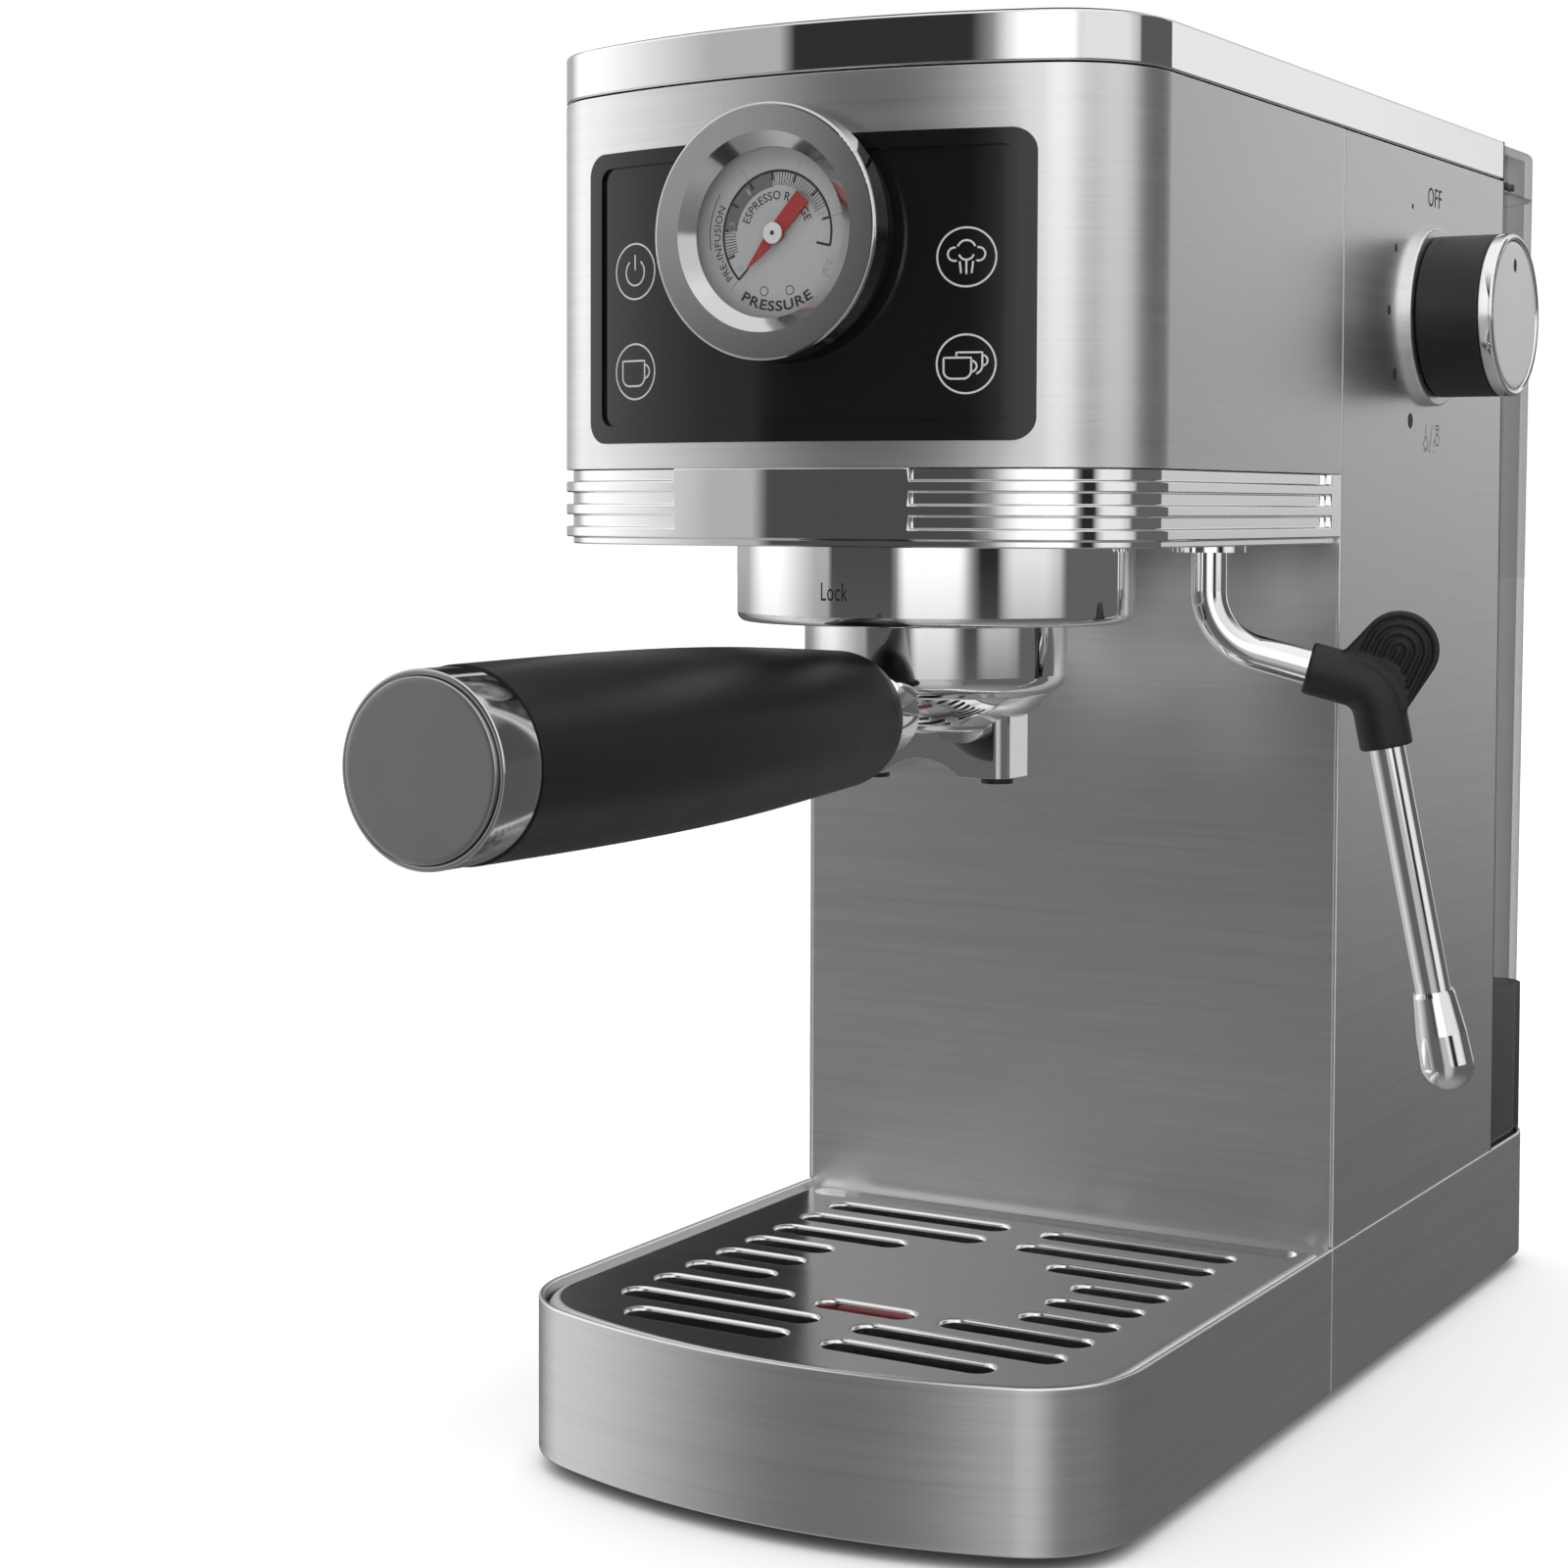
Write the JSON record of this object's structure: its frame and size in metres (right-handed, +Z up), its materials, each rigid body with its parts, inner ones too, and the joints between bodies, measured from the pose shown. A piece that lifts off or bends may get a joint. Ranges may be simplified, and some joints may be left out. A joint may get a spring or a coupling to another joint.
{
  "type": "espresso machine",
  "caption": "Slim pump espresso machine with a pressure gauge, side steam knob and wand, twin-spout filter holder, drip tray and lift-off rear water tank.",
  "frame": {"origin": "centre of the body's footprint, on the plane that the four feet rest on", "axes": "+X to the right as seen from the front, +Y to the back, +Z up; the filter holder's handle points to -Y"},
  "size_m": [0.1913, 0.445, 0.3263],
  "materials": {
    "brushed_steel": "horizontal fine brush",
    "polished_chrome": "polished",
    "grate_steel": "pressed and lightly brushed sheet",
    "black_plastic": "fine matte",
    "panel_black": "high gloss",
    "soft_black": "satin soft-touch",
    "grip_rubber": "matte silicone",
    "foot_rubber": "matte",
    "smoked_clear": "smoked transparent",
    "clear_glass": "clear polished",
    "dial_grey": "printed matte",
    "needle_red": "painted",
    "float_red": "moulded",
    "satin_aluminium": "satin",
    "cast_aluminium": "die cast",
    "valve_brass": "turned",
    "zinc_screw": "zinc plated",
    "pump_plastic": "moulded",
    "hose_silicone": "translucent silicone",
    "circuit_green": "solder mask"
  },
  "bodies": {
    "machine": {"base_plate": "black_plastic", "rubber_feet": "foot_rubber", "base_screws": "zinc_screw", "rear_base_wrap": "brushed_steel", "cord_inlet": "foot_rubber", "tank_dock": "black_plastic", "column_side_right": "brushed_steel", "column_side_left": "brushed_steel", "column_front_panel": "brushed_steel", "column_back_wall": "black_plastic", "head_front_cover": "brushed_steel", "control_panel_frame": "panel_black", "control_panel_glass": "panel_black", "control_board": "circuit_green", "ribbed_trim": "polished_chrome", "head_bottom_cover": "black_plastic", "top_rim": "polished_chrome", "top_frame": "black_plastic", "cup_warmer_plate": "grate_steel", "gauge_bezel": "polished_chrome", "gauge_glass": "clear_glass", "gauge_housing": "panel_black", "gauge_dial": "dial_grey", "gauge_movement": "valve_brass", "knob_skirt": "brushed_steel", "steam_valve": "valve_brass", "wand_socket": "polished_chrome", "group_collar": "polished_chrome", "bayonet_ring": "cast_aluminium", "group_head": "cast_aluminium", "group_gasket": "grip_rubber", "shower_screen": "grate_steel", "thermoblock": "cast_aluminium", "pump_body": "pump_plastic", "pump_mounts": "grip_rubber", "water_hoses": "hose_silicone", "power_board": "circuit_green"},
    "drip_tray": {"drip_tray_band": "brushed_steel", "drip_tray_tub": "black_plastic"},
    "drip_grate": {"drip_grate": "grate_steel"},
    "tray_float": {"tray_float": "float_red"},
    "gauge_needle": {"gauge_needle": "needle_red"},
    "steam_knob": {"knob_body": "soft_black", "knob_cap": "satin_aluminium", "valve_spindle": "valve_brass"},
    "steam_wand": {"wand_tube": "polished_chrome", "wand_grip": "grip_rubber", "wand_nozzle": "polished_chrome"},
    "filter_holder": {"holder_body": "polished_chrome", "twin_spout": "polished_chrome", "spout_tips": "grip_rubber", "filter_basket": "grate_steel", "handle_grip": "soft_black", "handle_end_cap": "satin_aluminium"},
    "water_tank": {"tank_shell": "smoked_clear", "tank_valve_seat": "black_plastic", "lid_hinge_arms": "black_plastic"},
    "tank_lid": {"tank_lid": "smoked_clear"},
    "tank_valve": {"tank_valve": "black_plastic"},
    "pump_piston": {"pump_piston": "grate_steel"}
  },
  "joints": [
    {"name": "holder_turn", "type": "hinge", "parent": "machine", "child": "filter_holder", "pos_m": [0, -0.082, 0.2], "axis": [0, 0, 1], "range_deg": [-45, 0]},
    {"name": "steam_knob_turn", "type": "hinge", "parent": "machine", "child": "steam_knob", "pos_m": [0.09, 0.054, 0.2727], "axis": [1, 0, 0], "range_deg": [0, 180]},
    {"name": "wand_swing", "type": "hinge", "parent": "machine", "child": "steam_wand", "pos_m": [0.057, -0.052, 0.217], "axis": [0, 0, 1], "range_deg": [-80, 20]},
    {"name": "needle_turn", "type": "hinge", "parent": "machine", "child": "gauge_needle", "pos_m": [0, -0.157, 0.2807], "axis": [0, 1, 0], "range_deg": [0, 238], "stiffness_Nm_per_rad": 0.0005},
    {"name": "tray_slide", "type": "slide", "parent": "machine", "child": "drip_tray", "axis": [0, -1, 0], "range_m": [0, 0.15]},
    {"name": "grate_lift", "type": "slide", "parent": "drip_tray", "child": "drip_grate", "axis": [0, 0, 1], "range_m": [0, 0.06]},
    {"name": "float_rise", "type": "slide", "parent": "drip_tray", "child": "tray_float", "axis": [0, 0, 1], "range_m": [0, 0.008]},
    {"name": "tank_lift", "type": "slide", "parent": "machine", "child": "water_tank", "axis": [0, 0, 1], "range_m": [0, 0.12]},
    {"name": "lid_open", "type": "hinge", "parent": "water_tank", "child": "tank_lid", "pos_m": [0, 0.1232, 0.3214], "axis": [1, 0, 0], "range_deg": [0, 95]},
    {"name": "valve_lift", "type": "slide", "parent": "water_tank", "child": "tank_valve", "axis": [0, 0, 1], "range_m": [0, 0.003], "stiffness_N_per_m": 150, "springref_m": -0.008},
    {"name": "piston_stroke", "type": "slide", "parent": "machine", "child": "pump_piston", "axis": [0, 0, 1], "range_m": [-0.003, 0.003], "stiffness_N_per_m": 800}
  ]
}
